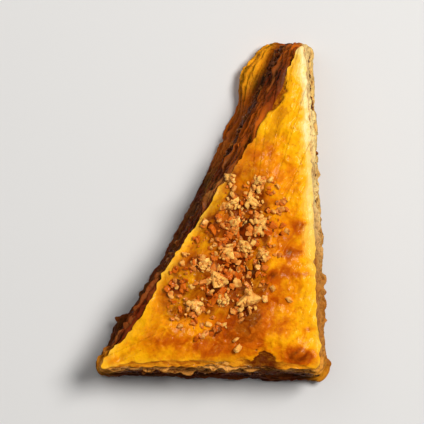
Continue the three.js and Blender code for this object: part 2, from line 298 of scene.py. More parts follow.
def add_piece(name, points, faces, tones, material, node, smooth=True):
    """A mesh object from points in millimetres, groups of faces with equal corner counts,
    and one value a point for each tone. It stands for a node of the model."""
    mesh = bpy.data.meshes.new(name)
    points = np.asarray(points, float).reshape(-1, 3) * MM
    mesh.vertices.add(len(points))
    mesh.vertices.foreach_set("co", points.ravel())
    corners = np.concatenate([group.ravel() for group in faces])
    sizes = np.concatenate([np.full(len(group), group.shape[1]) for group in faces])
    mesh.loops.add(len(corners))
    mesh.loops.foreach_set("vertex_index", corners.astype(np.int32))
    mesh.polygons.add(len(sizes))
    starts = np.concatenate([[0], np.cumsum(sizes)[:-1]])
    mesh.polygons.foreach_set("loop_start", starts.astype(np.int32))
    mesh.polygons.foreach_set("use_smooth", np.full(len(sizes), smooth))
    for tone, values in tones.items():
        layer = mesh.attributes.new(tone, "FLOAT", "POINT")
        layer.data.foreach_set("value", np.asarray(values, np.float32).ravel())
    mesh.update(calc_edges=True)
    mesh.materials.append(material)
    piece = bpy.data.objects.new(name, mesh)
    bpy.context.scene.collection.objects.link(piece)
    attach(piece, "root")
    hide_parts(node)


def colour(red, green, blue):
    """A display colour, 0 to 255, as the linear colour that a shader takes."""
    shares = [channel / 255 for channel in (red, green, blue)]
    return [*(((s + 0.055) / 1.055) ** 2.4 if s > 0.04 else s / 12.92 for s in shares), 1]


def new_finish(name, **sockets):
    """A material with its shader's own sockets set. Returns it, its tree and its shader."""
    material = bpy.data.materials.new(name)
    material.use_nodes = True
    tree = material.node_tree
    shader = tree.nodes["Principled BSDF"]
    for socket, value in sockets.items():
        shader.inputs[socket.replace("_", " ")].default_value = value
    return material, tree, shader


def tone_of(tree, name):
    """The value that a mesh keeps under a name, as a socket."""
    reader = tree.nodes.new("ShaderNodeAttribute")
    reader.attribute_name = name
    return reader.outputs["Fac"]


def speckle(tree, size, detail=3.0, stretch=(1, 1, 1), roughness=0.5, warp=0.0):
    """Cloudy noise with patches of a size in millimetres, as a socket from 0 to 1."""
    place = tree.nodes.new("ShaderNodeTexCoord")
    mapping = tree.nodes.new("ShaderNodeMapping")
    mapping.inputs["Scale"].default_value = stretch
    noise = tree.nodes.new("ShaderNodeTexNoise")
    noise.inputs["Scale"].default_value = 1 / (size * MM)
    noise.inputs["Detail"].default_value = detail
    noise.inputs["Roughness"].default_value = roughness
    noise.inputs["Distortion"].default_value = warp
    tree.links.new(place.outputs["Object"], mapping.inputs["Vector"])
    tree.links.new(mapping.outputs["Vector"], noise.inputs["Vector"])
    return noise.outputs["Fac"]


def band(tree, value, low, high, to_low=0.0, to_high=1.0):
    """A value carried from one range to another by an S-curve and held at its ends."""
    ranged = tree.nodes.new("ShaderNodeMapRange")
    ranged.interpolation_type = "SMOOTHSTEP"
    ranged.inputs["From Min"].default_value = low
    ranged.inputs["From Max"].default_value = high
    ranged.inputs["To Min"].default_value = to_low
    ranged.inputs["To Max"].default_value = to_high
    tree.links.new(value, ranged.inputs["Value"])
    return ranged.outputs["Result"]


def figure(tree, operation, first, second):
    """Two sockets joined by an operation of a Math node."""
    node = tree.nodes.new("ShaderNodeMath")
    node.operation = operation
    tree.links.new(first, node.inputs[0])
    tree.links.new(second, node.inputs[1])
    return node.outputs["Value"]


def product(tree, first, second):
    """One socket's value times another's."""
    return figure(tree, "MULTIPLY", first, second)


def blended(tree, share, first, second):
    """The first colour turned into the second by a share. A colour is a socket or a list."""
    node = tree.nodes.new("ShaderNodeMix")
    node.data_type = "RGBA"
    tree.links.new(share, node.inputs[0])
    for socket, value in ((node.inputs[6], first), (node.inputs[7], second)):
        if isinstance(value, list):
            socket.default_value = value
        else:
            tree.links.new(value, socket)
    return node.outputs[2]


def roughened(tree, shader, heights):
    """Fine relief on the shader's normal: (height as a socket, depth in millimetres)."""
    normal = None
    for height, depth in heights:
        bump = tree.nodes.new("ShaderNodeBump")
        bump.inputs["Distance"].default_value = depth * MM
        tree.links.new(height, bump.inputs["Height"])
        if normal:
            tree.links.new(normal, bump.inputs["Normal"])
        normal = bump.outputs["Normal"]
    tree.links.new(normal, shader.inputs["Normal"])


WARM_GLINT = (1, 0.7, 0.3, 1)  # the colour of a reflection on pastry and nut
SCATTER = (1, 0.5, 0.2)  # how far red, green and blue light travel inside them
SIDE_TINTS = {
    "amber": colour(232, 160, 72),
    "dry_and_lit": colour(242, 160, 48),
    "straight_side_gap": colour(216, 128, 38),
    "yellow": colour(254, 164, 17),
    "toffee": colour(206, 98, 8),
}


def sheet_edge_finish(name, dark, body, palest):
    """Cut edges of sheets: dark in the gaps, partly syrup and partly painted shade; amber
    pastry; thin level lines where single sheets show; and pale tips, partly dry pastry and
    partly painted light. The tone `out` is 0 in a gap and 1 on an edge; the other tones are
    as side_tones says."""
    material, tree, shader = new_finish(
        name, Coat_Weight=0.03, Coat_Roughness=0.15, Specular_IOR_Level=0.18,
        Specular_Tint=WARM_GLINT,
        Subsurface_Weight=0.15, Subsurface_Radius=SCATTER, Subsurface_Scale=0.0008)
    lines = speckle(tree, 1.8, 3, (0.5, 0.5, 7))
    flecks = speckle(tree, 1.2, 4, (1, 1, 2.5), roughness=0.65)
    patches = speckle(tree, 6, 3)
    out, dry_and_lit_tone = tone_of(tree, "out"), tone_of(tree, "dry_and_lit")
    # The gaps take the dark colour: partly syrup and partly painted shade.
    base = blended(tree, band(tree, out, 0.05, 0.85), dark, body)
    base = blended(tree, band(tree, lines, 0.5, 0.62, 0, 0.5), base, dark)
    base = blended(tree, band(tree, patches, 0.46, 0.66, 0, 0.6), base, dark)

    amber = product(tree, tone_of(tree, "amber"), band(tree, flecks, 0.34, 0.52, 0.2, 1))
    amber = product(tree, amber, band(tree, out, 0, 0.85, 0.3, 1))
    base = blended(tree, amber, base, SIDE_TINTS["amber"])
    # Paler on the straight side: partly dry pastry and partly painted light, as the light
    # falls on that side.
    dry_and_lit = product(tree, dry_and_lit_tone, band(tree, flecks, 0.36, 0.56, 0.55, 1))
    dry_and_lit = product(tree, dry_and_lit, band(tree, out, 0, 0.85, 0.85, 1))
    dry_and_lit_edge = blended(tree, band(tree, dry_and_lit_tone, 0.35, 0.85), SIDE_TINTS["dry_and_lit"], palest)
    dry_and_lit_side = blended(tree, band(tree, out, 0, 0.9), SIDE_TINTS["straight_side_gap"], dry_and_lit_edge)
    base = blended(tree, dry_and_lit, base, dry_and_lit_side)
    yellow = product(tree, tone_of(tree, "yellow"), band(tree, flecks, 0.3, 0.5, 0.7, 1))
    base = blended(tree, yellow, base, SIDE_TINTS["yellow"])
    base = blended(tree, tone_of(tree, "toffee"), base, SIDE_TINTS["toffee"])
    tree.links.new(base, shader.inputs["Base Color"])
    tree.links.new(band(tree, flecks, 0.3, 0.7, 0.35, 0.7), shader.inputs["Roughness"])
    roughened(tree, shader, [(lines, 0.35), (flecks, 0.3)])
    return material


# Where each tone of a side comes in, as ranges of x, y and z. The front's `notch` has a
# middle and a half width, and `run` is the direction of the sloping side.
STRAIGHT_SIDE = {"x": (26.5, 29.5), "y": (-50, -42), "palest": (-30, 20)}
FRONT_SIDE = {"y": (-43, -46), "z": (14, 19), "notch": (15, 6)}
SOAKED_LESS = (-8, 14)
FLAP = {"y": (27, 44), "z": (9.6, 8), "beyond": (-4.6, -0.6)}
SLOPING_SIDE = {"y": (8, 22), "end": (40, 31), "x": (25, 23), "run": (0.45, 0.89)}
BESIDE_TIP = {"y": (40, 48), "x": (27, 25.8)}
FRONT_CORNERS = [{"at": (-36, -46), "spread": 26}, {"at": (33, -50), "spread": 14}]


def side_tones(points, out):
    """The tones of a stack's side, each 0 to 1. The paleness tone is highest on the long
    straight side: partly the pastry's own dry, pale edges and partly painted light, as the
    light falls on that side. `amber` is where syrup soaked in less: in patches and along the
    front's upper sheets. `yellow` marks the flap beside the tip and the two front corners,
    and `toffee` the sloping side before and over the flap, sheet by sheet."""
    x, y, z = points[..., 0], points[..., 1], points[..., 2]
    clouds = lumps(points, 6, 11)
    by_sheet = lumps(points * (0.25, 0.25, 1.5), 1.2, 13)

    # Paler on the straight side: partly dry pastry and partly painted light, as the light
    # falls on that side.
    straight = eased(x + 0.03 * y, *STRAIGHT_SIDE["x"]) * eased(y, *STRAIGHT_SIDE["y"])
    palest = between((0.45, 1), eased(y, *STRAIGHT_SIDE["palest"]))
    dry_and_lit = straight * palest * (0.6 + 0.6 * clouds)

    front = eased(y, *FRONT_SIDE["y"]) * eased(z, *FRONT_SIDE["z"])
    front = front * (1 - 0.8 * bell(x, *FRONT_SIDE["notch"]))
    patches = 0.2 * eased(clouds, 0.4, 0.8) * between((0.3, 1), eased(y, *SOAKED_LESS))
    amber = patches + front * (0.8 + 0.8 * clouds)

    run, tip = SLOPING_SIDE["run"], BASE_CORNERS[3]
    beyond = run[0] * (y - tip[1]) - run[1] * (x - tip[0])
    flap = eased(y, *FLAP["y"]) * eased(z, *FLAP["z"]) * eased(beyond, *FLAP["beyond"])
    flap = np.clip(1.1 * flap, 0, 1)
    left_corner, right_corner = (spot(x, y, c["at"], c["spread"]) for c in FRONT_CORNERS)
    corners = left_corner * eased(z, 0, 6) + 0.7 * right_corner
    yellow = flap * (0.55 + 0.8 * by_sheet) + corners * (0.3 + 1.2 * lumps(points, 2.5, 12))

    toffee = eased(y, *SLOPING_SIDE["y"]) * eased(y, *SLOPING_SIDE["end"])
    toffee = toffee * eased(x, *SLOPING_SIDE["x"])
    beside_tip = eased(y, *BESIDE_TIP["y"]) * eased(x, *BESIDE_TIP["x"]) * (1 - flap)
    toffee = np.maximum(toffee, beside_tip)
    toffee = toffee * (0.15 + 0.9 * by_sheet + 0.6 * (clouds - 0.5))

    tones = {"out": out, "dry_and_lit": dry_and_lit, "amber": amber, "yellow": yellow, "toffee": toffee}
    return {tone: np.clip(values, 0, 1) for tone, values in tones.items()}


def add_stack(name, low, high, rows, tones, material, node):
    """A stack as one closed body: its side, flat below and above to its middle."""
    points, faces = closed_body(rows, [*MIDDLE, low], [*MIDDLE, high])
    full = {tone: np.append(values.ravel(), [0, 0]) for tone, values in tones.items()}
    add_piece(name, points, faces, full, material, node)


# The first colour fills the gaps between sheets: partly syrup, partly painted shade. The last
# is the palest, on the straight side: partly dry pastry and partly painted light.
soaked_edges = sheet_edge_finish(
    "soaked_sheet_edges", colour(40, 8, 2), colour(106, 33, 5), colour(255, 210, 122))

on_the_floor = np.zeros_like(AROUND)
rows, out = stack_side(
    BOTTOM_SHEETS, BOTTOM_FLAKES, BOTTOM_SEED, on_the_floor, seam_wave(AROUND))
rows[0, :, 2] = 0
rows[..., 2] = np.maximum(rows[..., 2], 0)
add_stack(
    "lower_sheets", BOTTOM_SHEETS["low"], BOTTOM_SHEETS["high"], rows,
    side_tones(rows, out), soaked_edges, "phyllo_bottom")

SCRAP_POINTS = (26, 6)  # points along a scrap and out from the side
SCRAP_THICK = 0.13
SCRAP_ROOT = 0.4  # how far a scrap starts inside the side
SCRAP_RUFFLE = 0.22


def scrap_grid():
    """The faces of a thin strip of points and its copy below: the upper side, the lower
    side, and a wall along the border. Returns the grid's two parameters as well."""
    a = np.linspace(-1, 1, SCRAP_POINTS[0])[:, None]
    b = np.linspace(0, 1, SCRAP_POINTS[1])[None, :]
    grid = np.arange(a.size * b.size).reshape(SCRAP_POINTS)
    size = grid.size
    quads = np.stack([grid[:-1, :-1], grid[:-1, 1:], grid[1:, 1:], grid[1:, :-1]], -1)
    quads = quads.reshape(-1, 4)
    border = np.concatenate([grid[:, 0], grid[-1, 1:], grid[-2::-1, -1], grid[0, -2:0:-1]])
    after = np.roll(border, -1)
    wall = np.stack([border, after, after + size, border + size], -1)
    return a, b, np.concatenate([quads, quads[:, ::-1] + size, wall])


def drawn_scraps(seed, count, lengths, reaches):
    """Scraps at drawn places round a stack: most of them short, with a little curl."""
    return [
        {
            "around": chance(i, seed + 1),
            "height": 0.04 + 0.92 * chance(i, seed + 3),
            "length": between(lengths, chance(i, seed + 2) ** 2),
            "reach": between(reaches, chance(i, seed + 4) ** 2),
            "curl": 0.8 * (chance(i, seed + 5) - 0.45),
        }
        for i in range(count)
    ]


def loose_edges(stack, seed, scraps, low_wave, high_wave):
    """Scraps of sheet that stick out of a stack's side. Each is a thin curved strip: its
    width falls off to both ends as half a circle, its edge is torn by noise, and it curls
    up or down as the square of its reach. Returns points, faces and tones."""
    a, b, strip = scrap_grid()
    points, faces, shades = [], [], []
    for i, scrap in enumerate(scraps):
        around = (scrap["around"] + a * scrap["length"] / 2 / PERIMETER) % 1
        place = around * len(AROUND)
        low = np.floor(place).astype(int) % len(AROUND)
        part = (place - np.floor(place))[..., None]
        share = scrap["height"]
        ends = (1 - share) * low_wave[low] + share * high_wave[low]
        z = stack["low"] + share * (stack["high"] - stack["low"]) + ends
        here = leaning(base_outline[low], crown_outline[low], z)
        after = (low + 1) % len(AROUND)
        there = leaning(base_outline[after], crown_outline[after], z)
        foot = here * (1 - part) + there * part
        torn = 0.5 + lumps(raised(foot, z) + 9.7 * i, 1.6, seed)
        width = (0.5 + scrap["reach"]) * np.sqrt(np.clip(1 - a * a, 0.02, 1)) * torn
        flat = foot + facing_out(there - here) * (width * b - SCRAP_ROOT)[..., None]
        ruffle = SCRAP_RUFFLE * np.sin(5 * a + 9 * chance(i, seed + 6)) * b
        upper = raised(flat, z + scrap["curl"] * b * b + ruffle).reshape(-1, 3)
        points.append(np.concatenate([upper, upper - (0, 0, SCRAP_THICK)]))
        faces.append(strip + 2 * len(upper) * i)
        # Each scrap is painted darker towards its root in the side, like a gap: painted shade.
        shades.append(np.tile((0.35 + 0.65 * b * np.ones_like(a)).ravel(), 2))
    points = np.concatenate(points)
    points[:, 2] = np.maximum(points[:, 2], 0.02)
    tones = side_tones(points, np.concatenate(shades))
    tones["amber"] = np.clip(tones["amber"] + 0.1, 0, 1)
    return points, [np.concatenate(faces)], tones


lower_scraps = drawn_scraps(LOWER_SCRAPS_SEED, 70, (4, 18), (0.7, 2))
lower_scraps += [
    {"around": 0.231, "height": 0.5, "length": 9, "reach": 2.6, "curl": -0.6},
    {"around": 0.239, "height": 0.85, "length": 7, "reach": 2, "curl": 0.5},
    {"around": 0.646, "height": 0.75, "length": 14, "reach": 2.8, "curl": 0.9},
    {"around": 0.66, "height": 0.5, "length": 12, "reach": 2.2, "curl": 0.2},
    {"around": 0.947, "height": 0.6, "length": 8, "reach": 3.2, "curl": 0.8},
]
points, faces, tones = loose_edges(
    BOTTOM_SHEETS, LOWER_SCRAPS_SEED, lower_scraps, on_the_floor, seam_wave(AROUND))
add_piece(
    "lower_loose_edges", points, faces, tones, soaked_edges, "phyllo_bottom")

# ======================================================================================
# The filling: coarsely ground nuts, sugar and spice, pressed flat between the two stacks and
# held by syrup. The knife leaves a crumbly side: a brown mass with grains of nut in it.
# ======================================================================================

FILLING = {"low": 8.7, "high": 13.6}
FILLING_CRAG = 0.8
FILLING_ROWS = 26
FILLING_SEED = 200
FILLING_LUMPS = [(2.4, 0.9, 21), (1.1, 0.7, 22), (0.6, 0.4, 23)]  # size, depth and seed
FILLING_DEEPEST = -0.6
FILLING_GRAINS = 1100
GRAIN_SIZE = (0.5, 2.2)
GRAINS_SEED = 4000

NUT_SKEW = 0.55  # how far a broken nut's corners are pulled in, at most
NUT_FULLNESS = 1.15  # its size, against the ball that it starts from
NUT_BROKEN = 0.5  # how much of its snapped corner is left
NUT_CORNER_SEED = 10
NUT_FACETS = (0.62, 0.87)  # how far from the middle its three facets lie
NUT_CHIPS = [(0.6, 1, 31), (0.28, 0.6, 32), (0.15, 0.4, 34)]  # size, depth and seed


def filling_side():
    """The lumpy side: five rings that wander in and out, blended by height, then roughened
    by noise of three sizes."""
    heights = np.array([0, 0.2, 0.5, 0.8, 1])
    rings = []
    for ring, share in enumerate(heights):
        belly = 4 * share * (1 - share)
        lump = 0.5 * waver(AROUND, FILLING_SEED + ring, 9, 5)
        rings.append(0.35 + FILLING_CRAG * (0.4 * belly + lump * (0.3 + 0.7 * belly)))
    rings = np.array(rings)
    share = np.linspace(0, 1, FILLING_ROWS)
    below = np.clip(np.searchsorted(heights, share, side="right") - 1, 0, 3)
    part = ((share - heights[below]) / (heights[below + 1] - heights[below]))[:, None]
    reach = rings[below] * (1 - part) + rings[below + 1] * part
    height = FILLING["low"] + share[:, None] * (FILLING["high"] - FILLING["low"])
    height = height + seam_wave(AROUND)
    crag = rough(side_points(height, reach), FILLING_LUMPS)
    return side_points(height, np.maximum(reach + crag - 0.15, FILLING_DEEPEST))


def crumb_ball(divisions):
    """The points (n, 3) and faces of a unit ball of triangles."""
    ball = bmesh.new()
    bmesh.ops.create_icosphere(ball, subdivisions=divisions, radius=1)
    points = np.array([vertex.co[:] for vertex in ball.verts])
    faces = np.array([[vertex.index for vertex in face.verts] for face in ball.faces])
    ball.free()
    return points, faces


def turned(points, tip_x, tip_y, turn):
    """Points turned about X, then Y, then Z, by angles in radians."""
    sin_x, cos_x = math.sin(tip_x), math.cos(tip_x)
    sin_y, cos_y = math.sin(tip_y), math.cos(tip_y)
    sin_z, cos_z = math.sin(turn), math.cos(turn)
    about_x = np.array([[1, 0, 0], [0, cos_x, -sin_x], [0, sin_x, cos_x]])
    about_y = np.array([[cos_y, 0, sin_y], [0, 1, 0], [-sin_y, 0, cos_y]])
    about_z = np.array([[cos_z, -sin_z, 0], [sin_z, cos_z, 0], [0, 0, 1]])
    return points @ (about_z @ about_y @ about_x).T


def nut_block(ball, number, craggy):
    """A broken piece of nut of about unit size. The ball is pushed out to a cube with round
    edges, whose eight corners are pulled in by different amounts and carry the points
    between them. Three drawn planes break facets off, and noise chips the surface."""
    cube = ball / np.abs(ball).max(axis=1, keepdims=True)
    inside = 0.15 * ball + 0.85 * cube
    block = np.zeros_like(ball)
    for corner in range(8):
        signs = np.array([1 if corner & bit else -1 for bit in (1, 2, 4)])
        pulls = 1 - NUT_SKEW * chance(number, NUT_CORNER_SEED + 3 * corner + np.arange(3))
        broken = NUT_BROKEN if corner == 4 + int(number) % 4 else 1
        share = ((1 + signs * inside) / 2).prod(axis=1, keepdims=True)
        block += share * signs * NUT_FULLNESS * broken * pulls
    for plane in range(3):
        facing = chance(number, 90 + 3 * plane + np.arange(3)) - 0.5
        facing = facing / np.linalg.norm(facing)
        depth = between(NUT_FACETS, chance(number, 99 + plane))
        block = block - np.maximum(block @ facing - depth, 0)[:, None] * facing
    chips = rough(ball + 17.3 * number, NUT_CHIPS)
    return block * (1 + craggy * chips[:, None])


def scattered(places, sizes, seed):
    """Crumbs at places (n, 3), each a nut block of its size, turned any way. Returns the
    points, the faces and a tone a point that is the same over one crumb."""
    ball, triangles = crumb_ball(2)
    points, faces, shades = [], [], []
    for i, (place, size) in enumerate(zip(places, sizes)):
        crumb = nut_block(ball, seed + i, craggy=0.3)
        crumb = crumb * (size / 2 * np.array([1, 0.6 + 0.4 * chance(i, seed), 0.6]))
        angles = TAU * chance(i, seed + np.array([1, 2, 3]))
        points.append(turned(crumb, *angles) + place)
        faces.append(triangles + i * len(ball))
        shades.append(np.full(len(ball), chance(i, seed + 4)))
    return np.concatenate(points), np.concatenate(faces), np.concatenate(shades)


def crumbly_finish():
    """Ground nut: a brown to tan body that differs from crumb to crumb, stained by syrup."""
    material, tree, shader = new_finish(
        "ground_nuts", Coat_Weight=0.03, Coat_Roughness=0.1, Specular_IOR_Level=0.15,
        Specular_Tint=WARM_GLINT,
        Subsurface_Weight=0.1, Subsurface_Radius=SCATTER, Subsurface_Scale=0.0008)
    shade = band(tree, tone_of(tree, "shade"), 0.25, 0.95)
    clouds = speckle(tree, 1.6, 4)
    base = blended(tree, shade, colour(100, 38, 6), colour(190, 112, 42))
    stain = band(tree, clouds, 0.4, 0.62, 0, 0.8)
    base = blended(tree, stain, base, colour(46, 15, 2))
    tree.links.new(base, shader.inputs["Base Color"])
    tree.links.new(band(tree, clouds, 0.3, 0.7, 0.45, 0.75), shader.inputs["Roughness"])
    roughened(tree, shader, [(speckle(tree, 0.5, 3), 0.2)])
    return material


ground_nuts = crumbly_finish()
filling_rows = filling_side()
tip_paleness = 0.35 * eased(filling_rows[..., 1], *BESIDE_TIP["y"])
add_stack(
    "filling_mass", FILLING["low"], FILLING["high"], filling_rows,
    {"shade": 0.55 * lumps(filling_rows, 1.5, 24) + tip_paleness},
    ground_nuts, "nut_filling")

# Grains at drawn places on the side, small enough there to stay between the two stacks.
grain = np.arange(FILLING_GRAINS)
grain_sizes = between(GRAIN_SIZE, chance(grain, 41) ** 2.2)
row = (1 + (FILLING_ROWS - 3) * chance(grain, 42)).astype(int)
column = (len(AROUND) * chance(grain, 43)).astype(int)
room = np.minimum(row, FILLING_ROWS - 1 - row) / FILLING_ROWS
room = room * (FILLING["high"] - FILLING["low"])
grain_sizes = np.minimum(grain_sizes, 0.6 + 1.6 * room)
points, faces, shades = scattered(filling_rows[row, column], grain_sizes, GRAINS_SEED)
add_piece(
    "filling_grains", points, [faces], {"shade": shades}, ground_nuts, "nut_filling")

# ======================================================================================
# The upper stack of sheets: the same phyllo, less soaked, so its edges are paler and stand
# further apart. Its topmost sheet is a piece of its own below.
# ======================================================================================

TOP_FLAKES = [
    {"around": 0.235, "height": 0.2, "span": 0.018, "reach": 1.7},
    {"around": 0.47, "height": 0.45, "span": 0.035, "reach": 1.2},
    {"around": 0.12, "height": 0.35, "span": 0.03, "reach": 1},
    {"around": 0.78, "height": 0.2, "span": 0.03, "reach": 1.3},
]
CROWN_DOME = 1.1  # how far the top rises from the rim
CROWN_SHOULDER = 4  # how far inside the rim it has risen most of that
CROWN_RIPPLE = 0.35  # height of the folds
RIPPLE_FADE = 2  # how far inside the rim they fade out
CROWN_FOLDS = [
    {"x": 0.31, "y": -0.16, "phase": 0, "share": 1},
    {"x": 0.2, "y": 0.27, "phase": 2, "share": 0.7},
]
TIP_DROOP = 1.4  # how far the tip droops, from this y on
DROOP_FROM = 22
RIM_SAG = 0.4
RIM_SEED = 61
TOP_SEED = 300
UPPER_SCRAPS_SEED = 600
UNDER_TOP_SHEET = 0.45  # the stack ends this far under the level of the top sheet
CRUMBLED_DEPTH = 0.9  # how far the top has crumbled down along its right side
CRUMBLED = (-30, 0)  # y where that begins, and where it is full


def inside_side(x, y, side):
    """How far inside one side of the top a point lies: its distance to the side's line,
    which is bowed by a parabola."""
    start = np.array(CROWN_CORNERS[side], float)
    along = np.array(CROWN_CORNERS[(side + 1) % 4]) - start
    length = np.linalg.norm(along)
    along = along / length
    share = np.clip((along[0] * (x - start[0]) + along[1] * (y - start[1])) / length, 0, 1)
    inward = along[0] * (y - start[1]) - along[1] * (x - start[0])
    return inward + 4 * CROWN_BOWS[side] * share * (1 - share)


def inward_from_rim(x, y):
    """How far inside the top's three long sides a point lies: the least of its distances
    to them, or 0 outside them."""
    distances = [inside_side(x, y, side) for side in (0, 1, 3)]
    return np.maximum(np.minimum.reduce(distances), 0)


def crown_height(x, y, inward):
    """Height of the top: a shoulder that rises from the rim, crossing folds, and a tip that
    droops."""
    dome = CROWN_DOME * (1 - np.exp(-inward / CROWN_SHOULDER))
    folds = sum(f["share"] * np.sin(f["x"] * x + f["y"] * y + f["phase"]) for f in CROWN_FOLDS)
    ripple = CROWN_RIPPLE * folds * (1 - np.exp(-inward / RIPPLE_FADE))
    droop = TIP_DROOP * eased(y, DROOP_FROM, CROWN_CORNERS[2][1])
    return TOP_SHEETS["high"] + dome - droop + ripple


def crown_at(x, y):
    """Height of the top at a place."""
    return crown_height(x, y, inward_from_rim(x, y))


def right_strip(x, y):
    """How far a point lies inside the top's right side, and 0 to 1 for whether it is on the
    part of that side, towards the tip, where the uppermost sheets have crumbled back."""
    low, high = CROWN_CORNERS[1], CROWN_CORNERS[2]
    line = between((low[0], high[0]), (y - low[1]) / (high[1] - low[1]))
    return line - x, eased(y, *CRUMBLED)


# The first colour fills the gaps between sheets: partly syrup, partly painted shade. The last
# is the palest, on the straight side: partly dry pastry and partly painted light.
golden_edges = sheet_edge_finish(
    "golden_sheet_edges", colour(42, 8, 1), colour(113, 35, 4), colour(255, 224, 150))

rim_drop = RIM_SAG * waver(AROUND, RIM_SEED, 5, 4)
rim_drop = rim_drop + crown_height(*crown_outline.T, 0)
rim_drop = rim_drop - TOP_SHEETS["high"] - UNDER_TOP_SHEET
from_right, crumbled = right_strip(*crown_outline.T)
rim_drop = rim_drop - CRUMBLED_DEPTH * crumbled * eased(from_right, 2.5, 0.5)
rows, out = stack_side(TOP_SHEETS, TOP_FLAKES, TOP_SEED, seam_wave(AROUND), rim_drop)
out[-1] = 0.9
add_stack(
    "upper_sheets", TOP_SHEETS["low"], TOP_SHEETS["high"] - 1, rows,
    side_tones(rows, out), golden_edges, "phyllo_top")

upper_scraps = drawn_scraps(UPPER_SCRAPS_SEED, 110, (4, 20), (0.7, 2.2))
points, faces, tones = loose_edges(
    TOP_SHEETS, UPPER_SCRAPS_SEED, upper_scraps, seam_wave(AROUND), rim_drop)
add_piece(
    "upper_loose_edges", points, faces, tones, golden_edges, "phyllo_top")

# ======================================================================================
# The chopped nuts: a dozen large chunks, many small ones and fine crumbs, scattered along
# the middle of the piece while the syrup was wet. Broken almond and walnut, tan inside, with
# bits of brown skin.
# ======================================================================================

LARGE_NUTS = [
    {"at": (10.5, -27), "length": 7, "width": 5.8, "turn": 45},
    {"at": (2.3, -20.9), "length": 5.8, "width": 5, "turn": 100},
    {"at": (4.5, -12.6), "length": 5.8, "width": 4.2, "turn": 100},
    {"at": (14.3, -4.8), "length": 5.6, "width": 4.4, "turn": 70},
    {"at": (6.7, 1.5), "length": 5.4, "width": 3, "turn": 40},
    {"at": (12.4, 1.8), "length": 5.2, "width": 2.8, "turn": -45},
    {"at": (-5, -28.2), "length": 5.2, "width": 3.8, "turn": -45},
    {"at": (9.8, -11.1), "length": 5.2, "width": 3.2, "turn": -20},
    {"at": (-2.2, -16.2), "length": 4.8, "width": 3, "turn": 30},
    {"at": (13.9, 7.8), "length": 4.4, "width": 2.7, "turn": -30},
    {"at": (5.4, 9.4), "length": 4, "width": 2.6, "turn": -10},
    {"at": (3.8, -27), "length": 4, "width": 3.6, "turn": 0},
    {"at": (6.7, -4.2), "length": 4, "width": 3.2, "turn": -20},
    {"at": (15.2, -13.4), "length": 3.6, "width": 3, "turn": 60},
]
SMALL_NUTS = 112
NUT_PATCH = {"at": (4.6, -14.5), "length": 54, "width": 29, "turn": 61, "crowding": 0.62}
SMALL_NUT_LENGTH = (2.3, 4.6)
SMALL_NUT_WIDTH = (0.6, 0.95)  # as shares of the length
SMALL_NUT_SHRINK = 0.3  # how much shorter they are at the patch's edge
SMALL_NUT_BIAS = 1.7  # above 1, most of them are short
LARGE_NUT_CLEAR = 0.42  # the share of a large chunk's length within which none starts
NUT_HEIGHT = 0.6  # as a share of the width
NUT_LIFT = 0.12  # how high a chunk's middle lies, as a share of its height
NUT_TIP = 0.9  # how far a chunk is tipped, in radians
NUT_FROM_RIM = 1.8
NUT_CRAGGY = 0.34
GOLDEN_ANGLE = math.pi * (3 - math.sqrt(5))
CRUMBS = 330
CRUMBS_OF_CHUNK = 11
CRUMBS_SEED = 5000
CRUMB_SIZE = (0.9, 2.6)
PALE_CRUMB_SIZE = (1.2, 2.5)
LONE_CRUMB_EXTRA = 0.8
CRUMB_LIFT = 0.3  # how high a crumb's middle lies, as a share of its size
LONE_CRUMB_LIFT = 0.18
CRUMB_AWAY = (0.05, 0.55)  # distance from a large chunk's middle, as a share of its length
CRUMB_FROM_RIM = 1
# Pale crumbs that lie apart from the others.
LONE_CRUMBS = [
    (-9.3, -34.5), (-0.6, -34), (3.5, -34.2), (7, -38.5), (7.6, -41.2), (-10.4, -22.9),
    (-5.8, -22.9), (18, -23.5), (23, -26.6), (15.7, -26.6), (14.4, -13), (-1, -30.5),
]


def patch_place(radius, angle):
    """The place of a point of the nut patch, an ellipse that lies along the piece."""
    turn = math.radians(NUT_PATCH["turn"])
    along = NUT_PATCH["length"] / 2 * radius * np.cos(angle)
    across = NUT_PATCH["width"] / 2 * radius * np.sin(angle)
    x = NUT_PATCH["at"][0] + along * math.cos(turn) - across * math.sin(turn)
    y = NUT_PATCH["at"][1] + along * math.sin(turn) + across * math.cos(turn)
    return x, y


def small_nuts():
    """The small chunks: a sunflower spiral pressed into the patch, thinner at its edge,
    without those that start inside a large chunk or near the rim."""
    nuts = []
    for i in range(SMALL_NUTS):
        radius = ((i + 0.5) / SMALL_NUTS) ** NUT_PATCH["crowding"] + 0.1 * (chance(i, 1) - 0.5)
        x, y = patch_place(radius, i * GOLDEN_ANGLE + 0.8 * chance(i, 2))
        length = between(SMALL_NUT_LENGTH, chance(i, 3) ** SMALL_NUT_BIAS)
        length = length * (1 - SMALL_NUT_SHRINK * radius)
        width = length * between(SMALL_NUT_WIDTH, chance(i, 4))
        clear = all(
            math.dist(large["at"], (x, y)) > LARGE_NUT_CLEAR * large["length"]
            for large in LARGE_NUTS)
        if clear and inward_from_rim(x, y) > NUT_FROM_RIM:
            turn = 360 * chance(i, 5)
            nuts.append({"at": (x, y), "length": length, "width": width, "turn": turn})
    return nuts


NUTS = LARGE_NUTS + small_nuts()


